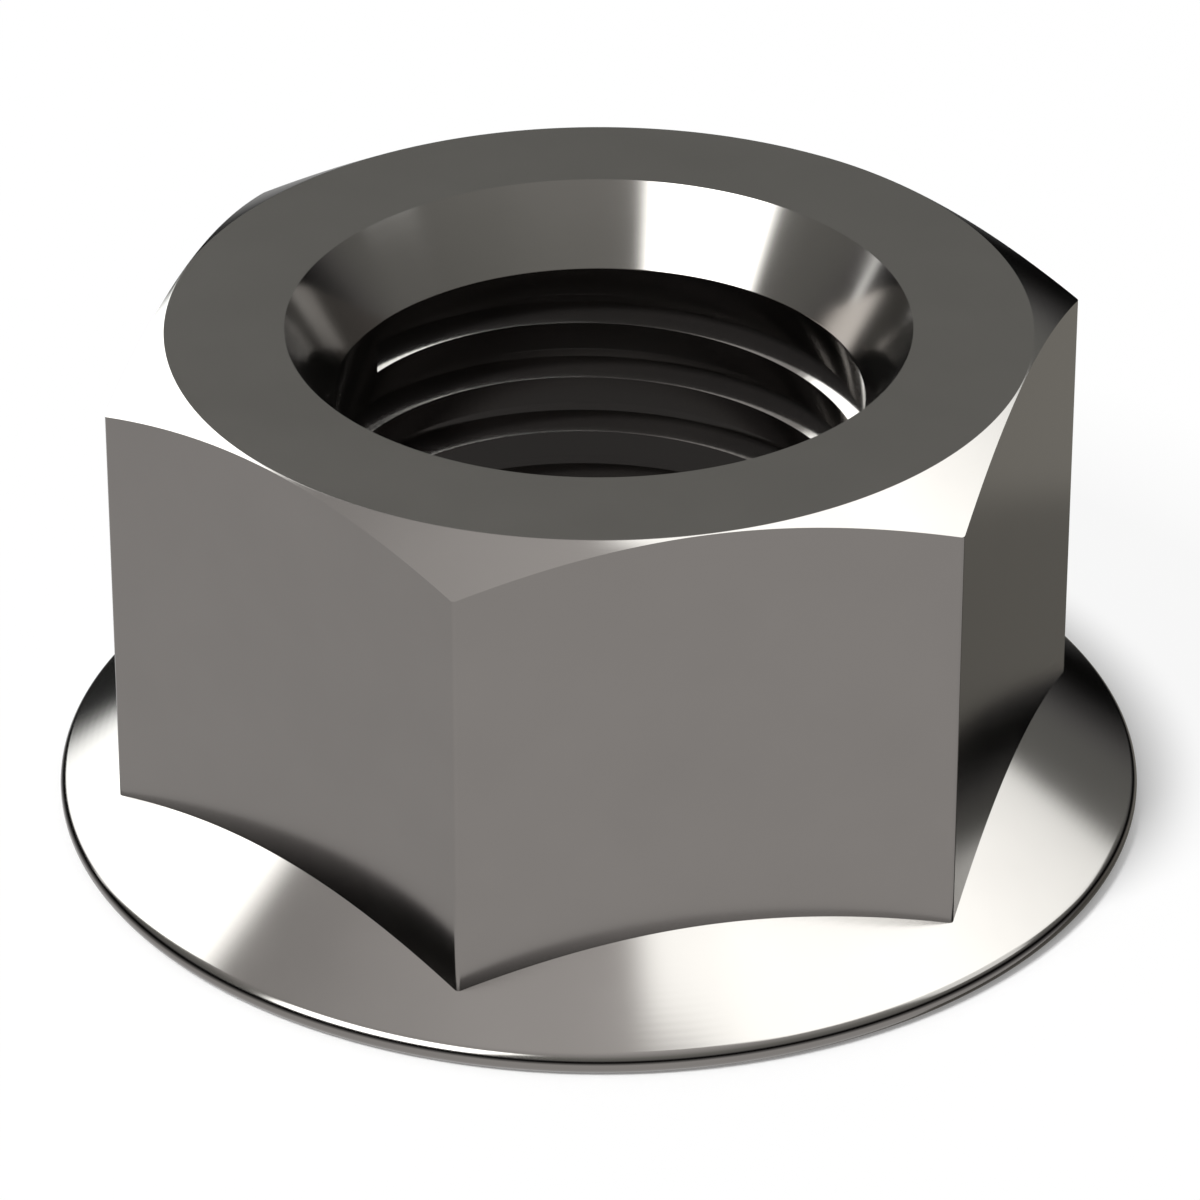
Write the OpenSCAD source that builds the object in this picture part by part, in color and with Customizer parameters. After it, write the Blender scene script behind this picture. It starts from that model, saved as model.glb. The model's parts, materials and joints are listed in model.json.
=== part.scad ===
/* [Hexagon] */
// Width across the flats, where the spanner grips
flats_w = 14.29; // [13:0.01:16]
// Height of the whole nut, from the bearing face to the top face
nut_h = 8.72; // [7:0.01:12]
// Diameter of the round top face left inside the chamfer
top_face_d = 14.25; // [13:0.01:14.4]
// Angle of the top chamfer below the top face, in degrees
top_chamfer_deg = 30; // [15:1:45]

/* [Flange] */
// Diameter of the flange, over its rounded rim
flange_d = 18.25; // [17:0.05:22]
// Thickness of the flange at its rim, which is fully rounded
rim_t = 0.45; // [0.2:0.05:1]
// Rise of the flange from its rim towards the hexagon, in degrees
flange_slope_deg = 29.5; // [15:0.5:40]

/* [Thread] */
// Diameter of the bore, which is the minor diameter of the thread
bore_d = 8.78; // [6:0.01:9.5]
// Diameter of the countersink's mouth at both ends of the bore
countersink_d = 10.3; // [9.6:0.05:12]
// Angle between the two sides of the countersink, in degrees
countersink_deg = 60; // [40:5:120]

/* [Hidden] */
// Steps in the quarter turn of the rounded rim
rim_steps = 4;
// How far a cutting shape passes the face that it opens
past = 1;
// Segments round each turned form
round_fn = 96;

bore_r = bore_d / 2;
mouth_r = countersink_d / 2;
countersink_h = (mouth_r - bore_r) / tan(countersink_deg / 2);

// The hexagon has two corners on X and two flats facing Y
corners_r = flats_w / 2 / cos(30);
top_face_r = top_face_d / 2;
top_chamfer_h = (corners_r - top_face_r) * tan(top_chamfer_deg);

// The rim is half a circle in section, and the slope leaves it as a tangent
rim_r = rim_t / 2;
rim_centre_r = flange_d / 2 - rim_r;
slope_start_deg = 90 - flange_slope_deg;
slope_start_r = rim_centre_r + rim_r * cos(slope_start_deg);
slope_start_z = rim_r + rim_r * sin(slope_start_deg);
// The slope runs on into the hexagon, and ends inside its flats
slope_end_r = (bore_r + flats_w / 2) / 2;
slope_end_z = slope_start_z + (slope_start_r - slope_end_r) * tan(flange_slope_deg);

// Six flats, trimmed at the top by the cone that leaves the round face
module hexagon() {
    intersection() {
        cylinder(r = corners_r, h = nut_h, $fn = 6);
        rotate_extrude($fn = round_fn)
            polygon([
                [0, 0],
                [corners_r + past, 0],
                [corners_r + past, nut_h - top_chamfer_h - past * tan(top_chamfer_deg)],
                [top_face_r, nut_h],
                [0, nut_h]
            ]);
    }
}

// Rounded rim, then a straight slope up to the hexagon
module flange() {
    rim_sweep_deg = 90 + slope_start_deg;
    rim_n = 2 * rim_steps;
    rim_arc = [
        for (i = [0 : rim_n])
            let (a = -90 + rim_sweep_deg * i / rim_n)
                [rim_centre_r + rim_r * cos(a), rim_r + rim_r * sin(a)]
    ];
    rotate_extrude($fn = round_fn)
        polygon(concat([[0, 0]], rim_arc, [[slope_end_r, slope_end_z], [0, slope_end_z]]));
}

// Straight bore at the thread's minor diameter, with a countersink at each end
module bore() {
    rotate_extrude($fn = round_fn)
        polygon([
            [0, -past],
            [mouth_r + past * tan(countersink_deg / 2), -past],
            [bore_r, countersink_h],
            [bore_r, nut_h - countersink_h],
            [mouth_r + past * tan(countersink_deg / 2), nut_h + past],
            [0, nut_h + past]
        ]);
}

module flange_nut() {
    color("dimgray")
        difference() {
            union() {
                hexagon();
                flange();
            }
            bore();
        }
}

flange_nut();
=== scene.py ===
# Hexagon flange nut in dark polished steel, standing on its bearing face on a white table.
import json
import math

import bpy
from mathutils import Matrix, Vector


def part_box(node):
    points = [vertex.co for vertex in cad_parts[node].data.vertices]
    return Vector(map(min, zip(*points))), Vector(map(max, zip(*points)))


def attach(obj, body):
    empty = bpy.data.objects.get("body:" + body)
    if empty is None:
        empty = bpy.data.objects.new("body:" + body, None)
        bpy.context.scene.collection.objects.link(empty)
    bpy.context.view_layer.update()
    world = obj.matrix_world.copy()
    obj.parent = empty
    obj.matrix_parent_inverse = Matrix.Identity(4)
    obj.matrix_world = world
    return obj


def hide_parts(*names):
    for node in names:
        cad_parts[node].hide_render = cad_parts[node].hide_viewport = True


mm = 0.001
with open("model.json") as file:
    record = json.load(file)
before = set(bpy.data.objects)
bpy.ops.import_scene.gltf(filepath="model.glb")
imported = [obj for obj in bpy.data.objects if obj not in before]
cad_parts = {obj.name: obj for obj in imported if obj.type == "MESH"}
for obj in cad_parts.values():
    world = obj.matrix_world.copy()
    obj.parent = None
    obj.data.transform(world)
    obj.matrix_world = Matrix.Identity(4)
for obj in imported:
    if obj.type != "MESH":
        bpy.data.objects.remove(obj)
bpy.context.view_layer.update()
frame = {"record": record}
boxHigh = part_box("flange_nut")[1]
threadMount = next(m for m in frame["record"]["mounts"] if m["name"] == "thread")


def linearFromHex(code):
    parts = [int(code[i:i + 2], 16) / 255 for i in (1, 3, 5)]
    return [p / 12.92 if p <= 0.04045 else ((p + 0.055) / 1.055) ** 2.4 for p in parts] + [1.0]


def addNode(tree, kind, values=None):
    # each value is a setting of the node, a value for one of its sockets, or a socket to link to it
    node = tree.nodes.new(kind)
    for key, value in (values or {}).items():
        if isinstance(value, bpy.types.NodeSocket):
            tree.links.new(value, node.inputs[key])
        elif isinstance(key, str) and hasattr(node, key):
            setattr(node, key, value)
        else:
            node.inputs[key].default_value = value
    return node


def tanDeg(angle):
    return math.tan(math.radians(angle))


def newMaterial(name):
    material = bpy.data.materials.new(name)
    material.use_nodes = True
    material.node_tree.nodes.clear()
    return material, material.node_tree


def deselectAll():
    if bpy.context.mode != "OBJECT":
        bpy.ops.object.mode_set(mode="OBJECT")
    bpy.ops.object.select_all(action="DESELECT")


def makeActive(piece):
    deselectAll()
    piece.select_set(True)
    bpy.context.view_layer.objects.active = piece


def applyAll(piece):
    makeActive(piece)
    for modifier in list(piece.modifiers):
        bpy.ops.object.modifier_apply(modifier=modifier.name)


def drawProfile(name, points):
    # one vertex at the first point, then extruded from point to point in the XZ plane, in millimetres
    deselectAll()
    bpy.ops.mesh.primitive_plane_add(size=mm)
    piece = bpy.context.object
    piece.name = name
    bpy.ops.object.mode_set(mode="EDIT")
    bpy.ops.mesh.select_mode(type="VERT")
    bpy.ops.mesh.select_all(action="SELECT")
    bpy.ops.mesh.merge(type="CENTER")
    bpy.ops.transform.translate(value=(points[0][0] * mm, 0, points[0][1] * mm))
    for here, there in zip(points, points[1:]):
        step = ((there[0] - here[0]) * mm, 0, (there[1] - here[1]) * mm)
        bpy.ops.mesh.extrude_region_move(TRANSFORM_OT_translate={"value": step})
    bpy.ops.mesh.select_all(action="SELECT")
    return piece


def closeUp():
    # in edit mode: doubles merged, flat neighbours made one face, and every face turned outwards
    bpy.ops.mesh.select_mode(type="VERT")
    bpy.ops.mesh.select_all(action="SELECT")
    bpy.ops.mesh.remove_doubles(threshold=nut["mergeBelow"] * mm)
    bpy.ops.mesh.dissolve_limited(angle_limit=math.radians(nut["flatBelow"]))
    bpy.ops.mesh.normals_make_consistent(inside=False)
    bpy.ops.object.mode_set(mode="OBJECT")


def turnOnLathe(name, points):
    # a profile from the axis back to the axis, spun once round Z into a closed solid
    piece = drawProfile(name, points)
    bpy.ops.mesh.spin(steps=nut["steps"], angle=2 * math.pi, center=(0, 0, 0), axis=(0, 0, 1))
    closeUp()
    return piece


def arc(centre, radius, start, end, steps):
    # points round a centre, from one angle in degrees to another
    turns = [math.radians(start + (end - start) * i / steps) for i in range(steps + 1)]
    return [(centre[0] + radius * math.cos(t), centre[1] + radius * math.sin(t)) for t in turns]


def combine(piece, tool, operation):
    modifier = piece.modifiers.new(operation.lower(), "BOOLEAN")
    modifier.operation = operation
    modifier.solver = "EXACT"
    modifier.object = tool
    applyAll(piece)
    bpy.ops.object.mode_set(mode="EDIT")
    closeUp()
    print(operation.lower(), tool.name, len(tool.data.polygons), "->", len(piece.data.polygons), "faces")
    bpy.data.objects.remove(tool)


# The nut, in millimetres and degrees. Its height, flange, bore and countersinks come from the frame.
nut = {
    "flats": 14.29,          # across the flats, 9/16 in
    "topCircle": 14.25,      # round face inside the top chamfer
    "topChamfer": 30,        # below the top face
    "rim": 0.45,             # thickness of the flange's rounded rim
    "slope": 29.5,           # of the flange, up from its rim
    "countersink": 60,       # between its sides
    "cornerRadius": 0.05,    # along the hexagon's upright corners
    "edgeRadius": 0.04,      # round the top face
    "footRadius": 0.06,      # where the countersinks meet the bore
    "steps": 288,            # round a full turn
    "rimSteps": 16,          # round the flange's rim
    "roundSteps": 4,         # in each of the small roundings
    "cornerSteps": 3,        # in each upright corner's
    "smoothBelow": 20,       # edges that bend more than this stay sharp
    "flatBelow": 0.05,       # faces that meet at less than this become one
    "mergeBelow": 0.0005,    # so do points that lie closer than this
}
height = boxHigh.z / mm
flangeR = boxHigh.x / mm
boreR = threadMount["dims"]["r_mm"]
sinkDepth = (height - threadMount["dims"]["length_mm"]) / 2
mouthR = boreR + sinkDepth * tanDeg(nut["countersink"] / 2)
flatR = nut["flats"] / 2
cornerR = flatR / math.cos(math.radians(30))
past = 1                     # how far a cutting shape passes the face that it opens
foot = 0.3                   # the hexagon starts inside the flange

print("nut: hexagon, trimmed by the top chamfer")
deselectAll()
bpy.ops.mesh.primitive_cylinder_add(
    vertices=6, radius=cornerR * mm, depth=(height + past - foot) * mm,
    location=(0, 0, (height + past + foot) / 2 * mm), rotation=(0, 0, math.radians(30)))
body = bpy.context.object
body.name = "flangeNut"
bpy.ops.object.transform_apply(location=True, rotation=True, scale=True)
bpy.ops.object.mode_set(mode="EDIT")
bpy.ops.mesh.select_mode(type="EDGE")
bpy.ops.mesh.select_all(action="DESELECT")
bpy.ops.object.mode_set(mode="OBJECT")
for side in body.data.edges:
    low, high = (body.data.vertices[i].co for i in side.vertices)
    side.select = abs(high.z - low.z) > height / 2 * mm
bpy.ops.object.mode_set(mode="EDIT")
bpy.ops.mesh.bevel(offset=nut["cornerRadius"] * mm, segments=nut["cornerSteps"])
bpy.ops.object.mode_set(mode="OBJECT")

circleR = nut["topCircle"] / 2
chamfer = nut["topChamfer"]
outside = cornerR + past
edge = nut["edgeRadius"]
edgeCentre = (circleR - edge * tanDeg(chamfer / 2), height - edge)
rounded = arc(edgeCentre, edge, 90 - chamfer, 90, nut["roundSteps"])
trim = turnOnLathe("trim", [
    (0, -past), (outside, -past), (outside, height - (outside - circleR) * tanDeg(chamfer)),
    *rounded, (0, height)])
combine(body, trim, "INTERSECT")

print("nut: flange with its rounded rim")
rimR = nut["rim"] / 2
rim = arc((flangeR - rimR, rimR), rimR, -90, 90 - nut["slope"], nut["rimSteps"])
slopeEnd = (boreR + flatR) / 2
slopeTop = rim[-1][1] + (rim[-1][0] - slopeEnd) * tanDeg(nut["slope"])
flange = turnOnLathe("flange", [(0, 0), *rim, (slopeEnd, slopeTop), (0, slopeTop)])
combine(body, flange, "UNION")

print("nut: bore and countersinks")
lean = nut["countersink"] / 2
wideR = mouthR + past * tanDeg(lean)
footR = nut["footRadius"]
footReach = footR * tanDeg(lean / 2)
footAt = boreR + footR
footLow = arc((footAt, sinkDepth + footReach), footR, 180 + lean, 180, nut["roundSteps"])
footHigh = arc((footAt, height - sinkDepth - footReach), footR, 180, 180 - lean, nut["roundSteps"])
bore = turnOnLathe("bore", [
    (0, -past), (wideR, -past), *footLow, *footHigh, (wideR, height + past), (0, height + past)])
combine(body, bore, "DIFFERENCE")

# The thread: right-hand, 24 to the inch, cut as one groove. It starts blunt near the top, as in the
# photograph, and runs out through the lower countersink.
thread = {
    "pitch": 25.4 / 24,
    "majorR": 9.525 / 2,
    "flanks": 60,            # between the two flanks
    "rootFlat": 25.4 / 24 / 8,
    "inside": 0.25,          # the cutter reaches so far into the open bore
    "mouthEdge": 6.354,      # height of the groove's lower edge in the bore wall ...
    "mouthEdgeAt": 75.91,    # ... at this angle from X
    "startAt": 133.9,        # the groove's blunt start, just under the top countersink
    "turns": 8,              # enough to leave by the lower countersink
    "steps": 144,            # in a turn
}

print("nut: thread")
pitch = thread["pitch"]
majorR = thread["majorR"]
innerR = boreR - thread["inside"]
rootHalf = thread["rootFlat"] / 2
mouthHalf = rootHalf + (majorR - boreR) * tanDeg(thread["flanks"] / 2)
innerHalf = rootHalf + (majorR - innerR) * tanDeg(thread["flanks"] / 2)
lowestTurn = (thread["startAt"] - thread["mouthEdgeAt"]) / 360 - thread["turns"]
middle = thread["mouthEdge"] + mouthHalf + pitch * lowestTurn
groove = drawProfile("groove", [
    (innerR, middle - innerHalf), (majorR, middle - rootHalf), (majorR, middle + rootHalf),
    (innerR, middle + innerHalf), (innerR, middle - innerHalf)])
closeUp()
screw = groove.modifiers.new("screw", "SCREW")
screw.axis = "Z"
screw.screw_offset = pitch * mm
screw.iterations = thread["turns"]
screw.steps = screw.render_steps = thread["steps"]
applyAll(groove)
groove.rotation_euler.z = math.radians(thread["startAt"])
bpy.ops.object.transform_apply(location=False, rotation=True, scale=False)
bpy.ops.object.mode_set(mode="EDIT")
bpy.ops.mesh.select_mode(type="VERT")
bpy.ops.mesh.select_all(action="DESELECT")
bpy.ops.mesh.select_non_manifold()
bpy.ops.mesh.edge_face_add()
closeUp()
combine(body, groove, "DIFFERENCE")

bpy.ops.object.shade_smooth_by_angle(angle=math.radians(nut["smoothBelow"]))
weighted = body.modifiers.new("weighted", "WEIGHTED_NORMAL")
weighted.keep_sharp = True
applyAll(body)
print("nut:", len(body.data.vertices), "vertices", len(body.data.polygons), "faces")

# Carbon steel, darkened and polished. Its reflections are grey-brown and nearly sharp, a little
# duller in faint clouds where it was handled. Lengths in millimetres.
steel = {
    "colour": "#7a7673",
    "colourSpread": 0.05,    # the clouds are lighter and darker than it by this share
    "roughness": 0.13,
    "cloud": 1.6,            # size of the clouds
    "cloudRoughness": 0.025,
    "ring": 0.12,            # between feed marks; the real ones, 0.03 apart, would be too fine to show
    "ringHeight": 0.00005,
    "lineWidth": 0.07,       # of the lines along the drawn bar; the real ones are finer
    "lineLength": 3.0,
    "lineHeight": 0.00025,
    "cutRoughness": 0.1,     # the tap left the groove a little smoother than the turned faces ...
    "cutMetal": 0.93,        # ... under a film of oil and dust, which takes the rest of the light
}


def addSteel(name, roughness, metal=1.0):
    # what every finish shares: colour and roughness in clouds; the turned and drawn finishes add a bump of
    # their own
    material, tree = newMaterial(name)
    place = addNode(tree, "ShaderNodeTexCoord")
    perMm = addNode(tree, "ShaderNodeVectorMath", {
        "operation": "MULTIPLY", 0: place.outputs["Object"], 1: (1 / mm, 1 / mm, 1 / mm)})
    cloud = addNode(tree, "ShaderNodeTexNoise", {
        "Vector": perMm.outputs[0], "Scale": 1 / steel["cloud"], "Detail": 3.0})
    colour = addNode(tree, "ShaderNodeValToRGB", {"Fac": cloud.outputs["Fac"]})
    base = linearFromHex(steel["colour"])
    spread = steel["colourSpread"]
    for stop, share in zip(colour.color_ramp.elements, (1 - spread, 1 + spread)):
        stop.color = [c * share for c in base[:3]] + [1.0]
    dull = addNode(tree, "ShaderNodeMapRange", {
        "Value": cloud.outputs["Fac"],
        "To Min": roughness - steel["cloudRoughness"], "To Max": roughness + steel["cloudRoughness"]})
    shader = addNode(tree, "ShaderNodeBsdfPrincipled", {
        "Base Color": colour.outputs["Color"], "Metallic": metal, "Roughness": dull.outputs[0]})
    addNode(tree, "ShaderNodeOutputMaterial", {"Surface": shader.outputs["BSDF"]})
    return material, tree, perMm.outputs[0], shader


print("steel: turned, drawn and cut finishes")
# turned faces: top face, chamfer, countersinks and flange show faint rings round the axis
turned, tree, perMm, shader = addSteel("turnedSteel", steel["roughness"])
fullWave = 2 * math.pi / 20  # Blender's ring wave repeats after this length at scale 1
rings = addNode(tree, "ShaderNodeTexWave", {
    "wave_type": "RINGS", "rings_direction": "Z", "Vector": perMm, "Scale": fullWave / steel["ring"],
    "Distortion": 0.6, "Detail": 2.0})
bump = addNode(tree, "ShaderNodeBump", {
    "Distance": steel["ringHeight"] * mm, "Height": rings.outputs["Fac"]})
tree.links.new(bump.outputs["Normal"], shader.inputs["Normal"])

# the six flats keep the skin of the drawn bar, with fine lines along the axis
drawn, tree, perMm, shader = addSteel("drawnSteel", steel["roughness"])
perLine = (1 / steel["lineWidth"], 1 / steel["lineWidth"], 1 / steel["lineLength"])
stretched = addNode(tree, "ShaderNodeVectorMath", {"operation": "MULTIPLY", 0: perMm, 1: perLine})
lines = addNode(tree, "ShaderNodeTexNoise", {
    "Vector": stretched.outputs[0], "Scale": 1.0, "Detail": 2.0})
bump = addNode(tree, "ShaderNodeBump", {
    "Distance": steel["lineHeight"] * mm, "Height": lines.outputs["Fac"]})
tree.links.new(bump.outputs["Normal"], shader.inputs["Normal"])

# the thread's groove, cut by a tap, without marks and with a film of oil
cut = addSteel("cutSteel", steel["cutRoughness"], steel["cutMetal"])[0]

slack = 0.01  # of a millimetre, and of a normal's length
body.data.materials.clear()
for material in (turned, drawn, cut):
    body.data.materials.append(material)
for face in body.data.polygons:
    fromAxis = face.center.xy.length / mm
    upright = abs(face.normal.z) < slack
    inBore = sinkDepth < face.center.z / mm < height - sinkDepth
    if upright and fromAxis > flatR - nut["cornerRadius"]:
        face.material_index = 1
    elif inBore and boreR + slack < fromAxis < majorR + slack:
        face.material_index = 2
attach(body, "root")
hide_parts("flange_nut")

# The camera, set by the photograph's outline. Its bearing counts from the -Y side, and its lengths
# are in millimetres.
view = {
    "bearing": -14.09,
    "elevation": 30.497,
    "distance": 117.94,
    "aimHeight": 3.447,
    "lens": 211.13,
    "sensor": 36,
    "shiftX": 0.00106,       # a share of the picture's width
    "clipFrom": 10,
}


def direction(bearing, elevation):
    # unit vector from the nut; bearing 0 is the photographer's side, and it grows to the right
    a = math.radians(bearing + view["bearing"])
    e = math.radians(elevation)
    return Vector((math.sin(a) * math.cos(e), -math.cos(a) * math.cos(e), math.sin(e)))


print("camera")
cameraData = bpy.data.cameras.new("camera")
cameraData.lens = view["lens"]
cameraData.sensor_width = view["sensor"]
cameraData.shift_x = view["shiftX"]
cameraData.clip_start = view["clipFrom"] * mm
camera = bpy.data.objects.new("camera", cameraData)
bpy.context.scene.collection.objects.link(camera)
towards = direction(0, view["elevation"])
camera.location = Vector((0, 0, view["aimHeight"] * mm)) + towards * view["distance"] * mm
camera.rotation_euler = (-towards).to_track_quat("-Z", "Y").to_euler()
bpy.context.scene.camera = camera

# The studio. Lengths in metres, angles in degrees, and a brightness of 1 is white.
studio = {
    "tableSize": 4.0,
    "tableColour": "#f2f2f2",
    "worldFill": 0.4,        # light from all round, for the table and the film of oil
    "whiteFrom": 0.0085,     # the table's plain white starts here, under the flange ...
    "whiteTo": 0.0105,       # ... and is full here, so that the nut keeps its contact shadow
    "whiteShare": 0.9,       # the rest shows the nut's shadow
    "tentRadius": 0.5,
    "tentTop": 1.43,
    "tentTilt": -0.17,       # the far wall is so much darker than the middle, and the near one lighter
    "wallColour": "#fcfffa", # the wall is a little greener than the floor and the top ...
    "wallFrom": 10,          # ... between these elevations
    "wallTo": 60,
    "boreShadeRadius": 0.00505,   # painted shade: a dim glowing disc at the foot of the bore, where the nut stands on the table, in place of the shaded table there
    "boreShadeHeight": 0.0001,
    "boreShadeLight": 0.12,
}
# elevation in the tent, and its brightness there as a share of the top's: a white floor, a dark horizon
# and a grey wall that lightens upwards
tentLight = {-90: 0.68, -27: 0.67, -24: 0.5, -20: 0.33, -15: 0.22, -10: 0.07, -4: 0.0, 3: 0.0,
             8: 0.1, 10: 0.19, 14: 0.28, 20: 0.3, 30: 0.37, 60: 0.75, 90: 1.0}


def seenByMetalOnly(card):
    # tent, cards and the disc of painted shade in the bore show in the polish and nowhere else
    card.visible_camera = False
    card.visible_diffuse = False
    card.visible_shadow = False
    card.visible_transmission = False


def seenDirectly(tree):
    # 1 on rays from the camera and on those that come by way of polish or glass, 0 on diffuse ones
    path = addNode(tree, "ShaderNodeLightPath")
    seen = path.outputs["Is Camera Ray"]
    for ray in ("Is Glossy Ray", "Is Transmission Ray"):
        seen = addNode(tree, "ShaderNodeMath", {
            "operation": "ADD", 0: seen, 1: path.outputs[ray]}).outputs[0]
    return seen


def addPlane(name, size, material):
    deselectAll()
    bpy.ops.mesh.primitive_plane_add(size=size)
    plane = bpy.context.object
    plane.name = name
    plane.data.materials.append(material)
    return plane


print("studio: table and world")
material, tree = newMaterial("whiteTable")
place = addNode(tree, "ShaderNodeTexCoord")
fromNut = addNode(tree, "ShaderNodeVectorMath", {"operation": "LENGTH", 0: place.outputs["Object"]})
share = addNode(tree, "ShaderNodeMapRange", {
    "interpolation_type": "SMOOTHSTEP", "Value": fromNut.outputs["Value"],
    "From Min": studio["whiteFrom"], "From Max": studio["whiteTo"], "To Max": studio["whiteShare"]})
share = addNode(tree, "ShaderNodeMath", {
    "operation": "MULTIPLY", 0: seenDirectly(tree), 1: share.outputs[0]})
matt = addNode(tree, "ShaderNodeBsdfDiffuse", {"Color": linearFromHex(studio["tableColour"])})
white = addNode(tree, "ShaderNodeEmission", {"Strength": 1.0})
mix = addNode(tree, "ShaderNodeMixShader", {
    0: share.outputs[0], 1: matt.outputs[0], 2: white.outputs[0]})
addNode(tree, "ShaderNodeOutputMaterial", {"Surface": mix.outputs[0]})
table = addPlane("table", studio["tableSize"], material)
table.visible_glossy = False  # the metal sees the tent's white floor in its place

world = bpy.data.worlds.new("whiteRoom")
bpy.context.scene.world = world
world.use_nodes = True
tree = world.node_tree
tree.nodes.clear()
level = addNode(tree, "ShaderNodeMapRange", {
    "Value": seenDirectly(tree), "To Min": studio["worldFill"], "To Max": 1.0})
sky = addNode(tree, "ShaderNodeBackground", {"Color": (1, 1, 1, 1), "Strength": level.outputs[0]})
addNode(tree, "ShaderNodeOutputWorld", {"Surface": sky.outputs[0]})

print("studio: light tent")
material, tree = newMaterial("tentCloth")
tentR = studio["tentRadius"]
place = addNode(tree, "ShaderNodeTexCoord")
split = addNode(tree, "ShaderNodeSeparateXYZ", {"Vector": place.outputs["Object"]})
rise = addNode(tree, "ShaderNodeMapRange", {
    "Value": split.outputs["Z"], "From Min": -tentR, "From Max": tentR})
ramp = addNode(tree, "ShaderNodeValToRGB", {"Fac": rise.outputs[0]})
stops = []
for angle, share in tentLight.items():
    onWall = studio["wallFrom"] < angle < studio["wallTo"]
    hue = linearFromHex(studio["wallColour"] if onWall else "#ffffff")
    stops.append(((1 + math.sin(math.radians(angle))) / 2, [c * share for c in hue[:3]] + [1.0]))
for position, colour in stops[1:-1]:
    ramp.color_ramp.elements.new(position)
for element, (position, colour) in zip(ramp.color_ramp.elements, stops):
    element.position = position
    element.color = colour
tilt = direction(180, 0) * studio["tentTilt"] * studio["tentTop"] / tentR
back = addNode(tree, "ShaderNodeVectorMath", {
    "operation": "DOT_PRODUCT", 0: place.outputs["Object"], 1: tilt})
strength = addNode(tree, "ShaderNodeMath", {
    "operation": "ADD", 0: back.outputs["Value"], 1: studio["tentTop"]})
cloth = addNode(tree, "ShaderNodeEmission", {
    "Color": ramp.outputs["Color"], "Strength": strength.outputs[0]})
addNode(tree, "ShaderNodeOutputMaterial", {"Surface": cloth.outputs[0]})
deselectAll()
bpy.ops.mesh.primitive_uv_sphere_add(segments=64, ring_count=32, radius=tentR)
tent = bpy.context.object
tent.name = "lightTent"
bpy.ops.object.shade_smooth()
tent.data.materials.append(material)
seenByMetalOnly(tent)

# painted shade: a dim glowing disc, seen only in the polish, stands in for the shaded table at the foot of
# the bore
material, tree = newMaterial("paintedBoreShade")
dim = addNode(tree, "ShaderNodeEmission", {"Strength": studio["boreShadeLight"]})
addNode(tree, "ShaderNodeOutputMaterial", {"Surface": dim.outputs[0]})
deselectAll()
bpy.ops.mesh.primitive_circle_add(
    vertices=64, radius=studio["boreShadeRadius"], fill_type="NGON", location=(0, 0, studio["boreShadeHeight"]))
boreShade = bpy.context.object
boreShade.name = "boreShadeDisc"
boreShade.data.materials.append(material)
seenByMetalOnly(boreShade)

# Cards in the tent: softboxes, and two grey ones low at the far right, which are painted shadow: seen only
# in the polish, they stand in for the nut's shadow on the table there. Bearing, elevation and distance are
# from the nut; long, wide and fade are the angles that a card and its soft edge take up from there, and roll
# leans the long side over. Brightness runs from start, at the low end, to end, at the middle.
cards = {
    "rightBox": {"bearing": 117.8, "elevation": 53.4, "distance": 0.3, "roll": -24, "long": 62.6, "wide": 36,
                 "fade": 4, "start": 3.5, "end": 5.8, "colour": "#faffff"},
    "topBox": {"bearing": 76, "elevation": 79.7, "distance": 0.29, "roll": -14, "long": 9.5, "wide": 12,
               "fade": 2.5, "start": 5.5, "end": 5.5, "colour": "#faffff"},
    "leftBox": {"bearing": 222, "elevation": 29.4, "distance": 0.3, "roll": -7, "long": 39, "wide": 48,
                "fade": 3.2, "start": 4.2, "end": 8.0, "colour": "#faffff"},
    "leftGlint": {"bearing": 243.5, "elevation": 7.5, "distance": 0.3, "roll": 0, "long": 6, "wide": 4,
                  "fade": 2, "start": 3.0, "end": 3.0, "colour": "#faffff"},
    "frontLeftBox": {"bearing": -45, "elevation": 30, "distance": 0.3, "roll": 90, "long": 42.4, "wide": 32,
                     "fade": 5, "start": 12.0, "end": 12.0, "colour": "#faffff"},
    "rightStrip": {"bearing": 89, "elevation": 36.3, "distance": 0.3, "roll": 21, "long": 26, "wide": 22,
                   "fade": 2.5, "start": 3.2, "end": 3.2, "colour": "#faffff"},
    # painted shadow: two dim grey cards, seen only in the polish, in place of the nut's shadow on the table
    # behind the right flat
    "paintedShadowHigh": {"bearing": 141, "elevation": -32, "distance": 0.045, "roll": 0, "long": 44, "wide": 70,
                 "fade": 3, "start": 0.29, "end": 0.29, "colour": "#fffaee"},
    "paintedShadowLow": {"bearing": 141, "elevation": -42.6, "distance": 0.04, "roll": 0, "long": 44, "wide": 75,
                "fade": 0.7, "start": 0.178, "end": 0.178, "colour": "#fffaee"},
}


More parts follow.
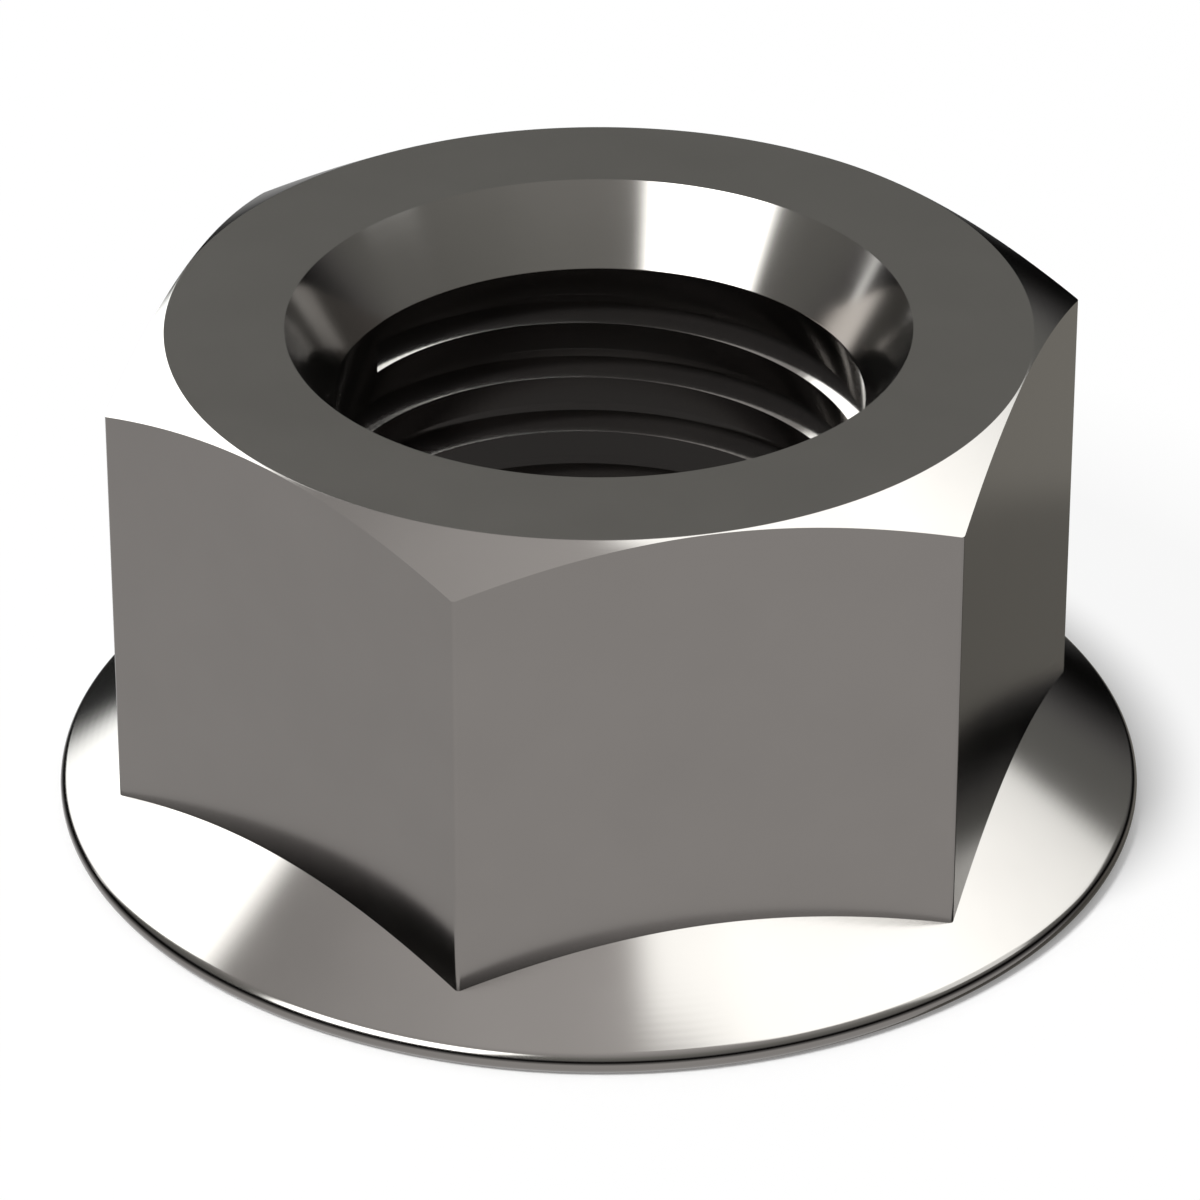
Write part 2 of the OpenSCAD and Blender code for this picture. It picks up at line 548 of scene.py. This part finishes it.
def addCard(name, card):
    # a plane that faces the nut, and is clear outside its soft edges
    distance = card["distance"]
    centre = direction(card["bearing"], card["elevation"])
    up = direction(card["bearing"], card["elevation"] + 90)
    side = centre.cross(up)
    roll = math.radians(card["roll"])
    along = up * math.cos(roll) - side * math.sin(roll)
    across = centre.cross(along)
    halfLong = tanDeg(card["long"] / 2) * distance
    halfWide = tanDeg(card["wide"] / 2) * distance
    soft = math.radians(card["fade"]) * distance
    material, tree = newMaterial(name + "Light")
    place = addNode(tree, "ShaderNodeTexCoord")
    split = addNode(tree, "ShaderNodeSeparateXYZ", {"Vector": place.outputs["Object"]})
    cover = 1.0
    for axis, half in (("X", halfLong), ("Y", halfWide)):
        offset = addNode(tree, "ShaderNodeMath", {"operation": "ABSOLUTE", 0: split.outputs[axis]})
        inside = addNode(tree, "ShaderNodeMapRange", {
            "interpolation_type": "SMOOTHSTEP", "Value": offset.outputs[0],
            "From Min": half + soft, "From Max": half - soft})
        cover = addNode(tree, "ShaderNodeMath", {
            "operation": "MULTIPLY", 0: inside.outputs[0], 1: cover}).outputs[0]
    run = addNode(tree, "ShaderNodeMapRange", {
        "Value": split.outputs["X"], "From Min": -halfLong, "From Max": 0,
        "To Min": card["start"], "To Max": card["end"]})
    light = addNode(tree, "ShaderNodeEmission", {
        "Color": linearFromHex(card["colour"]), "Strength": run.outputs[0]})
    clear = addNode(tree, "ShaderNodeBsdfTransparent")
    mix = addNode(tree, "ShaderNodeMixShader", {0: cover, 1: clear.outputs[0], 2: light.outputs[0]})
    addNode(tree, "ShaderNodeOutputMaterial", {"Surface": mix.outputs[0]})
    plane = addPlane(name, 2 * (max(halfLong, halfWide) + soft), material)
    turn = Matrix((along, across, centre)).transposed().to_4x4()
    plane.matrix_world = Matrix.Translation(centre * distance) @ turn
    seenByMetalOnly(plane)


print("studio: cards and key lamp")
for name, card in cards.items():
    addCard(name, card)

# the key lamp gives the nut its soft shadow on the table, and doesn't show in the polish
key = {"bearing": -45, "elevation": 50, "distance": 1.0, "size": 0.25, "energy": 10.0}
lamp = bpy.data.lights.new("key", "AREA")
lamp.size = key["size"]
lamp.energy = key["energy"]
keyLamp = bpy.data.objects.new("key", lamp)
bpy.context.scene.collection.objects.link(keyLamp)
aim = direction(key["bearing"], key["elevation"])
keyLamp.location = aim * key["distance"]
keyLamp.rotation_euler = aim.to_track_quat("Z", "Y").to_euler()
keyLamp.visible_glossy = False

bpy.context.scene.view_settings.view_transform = "Standard"
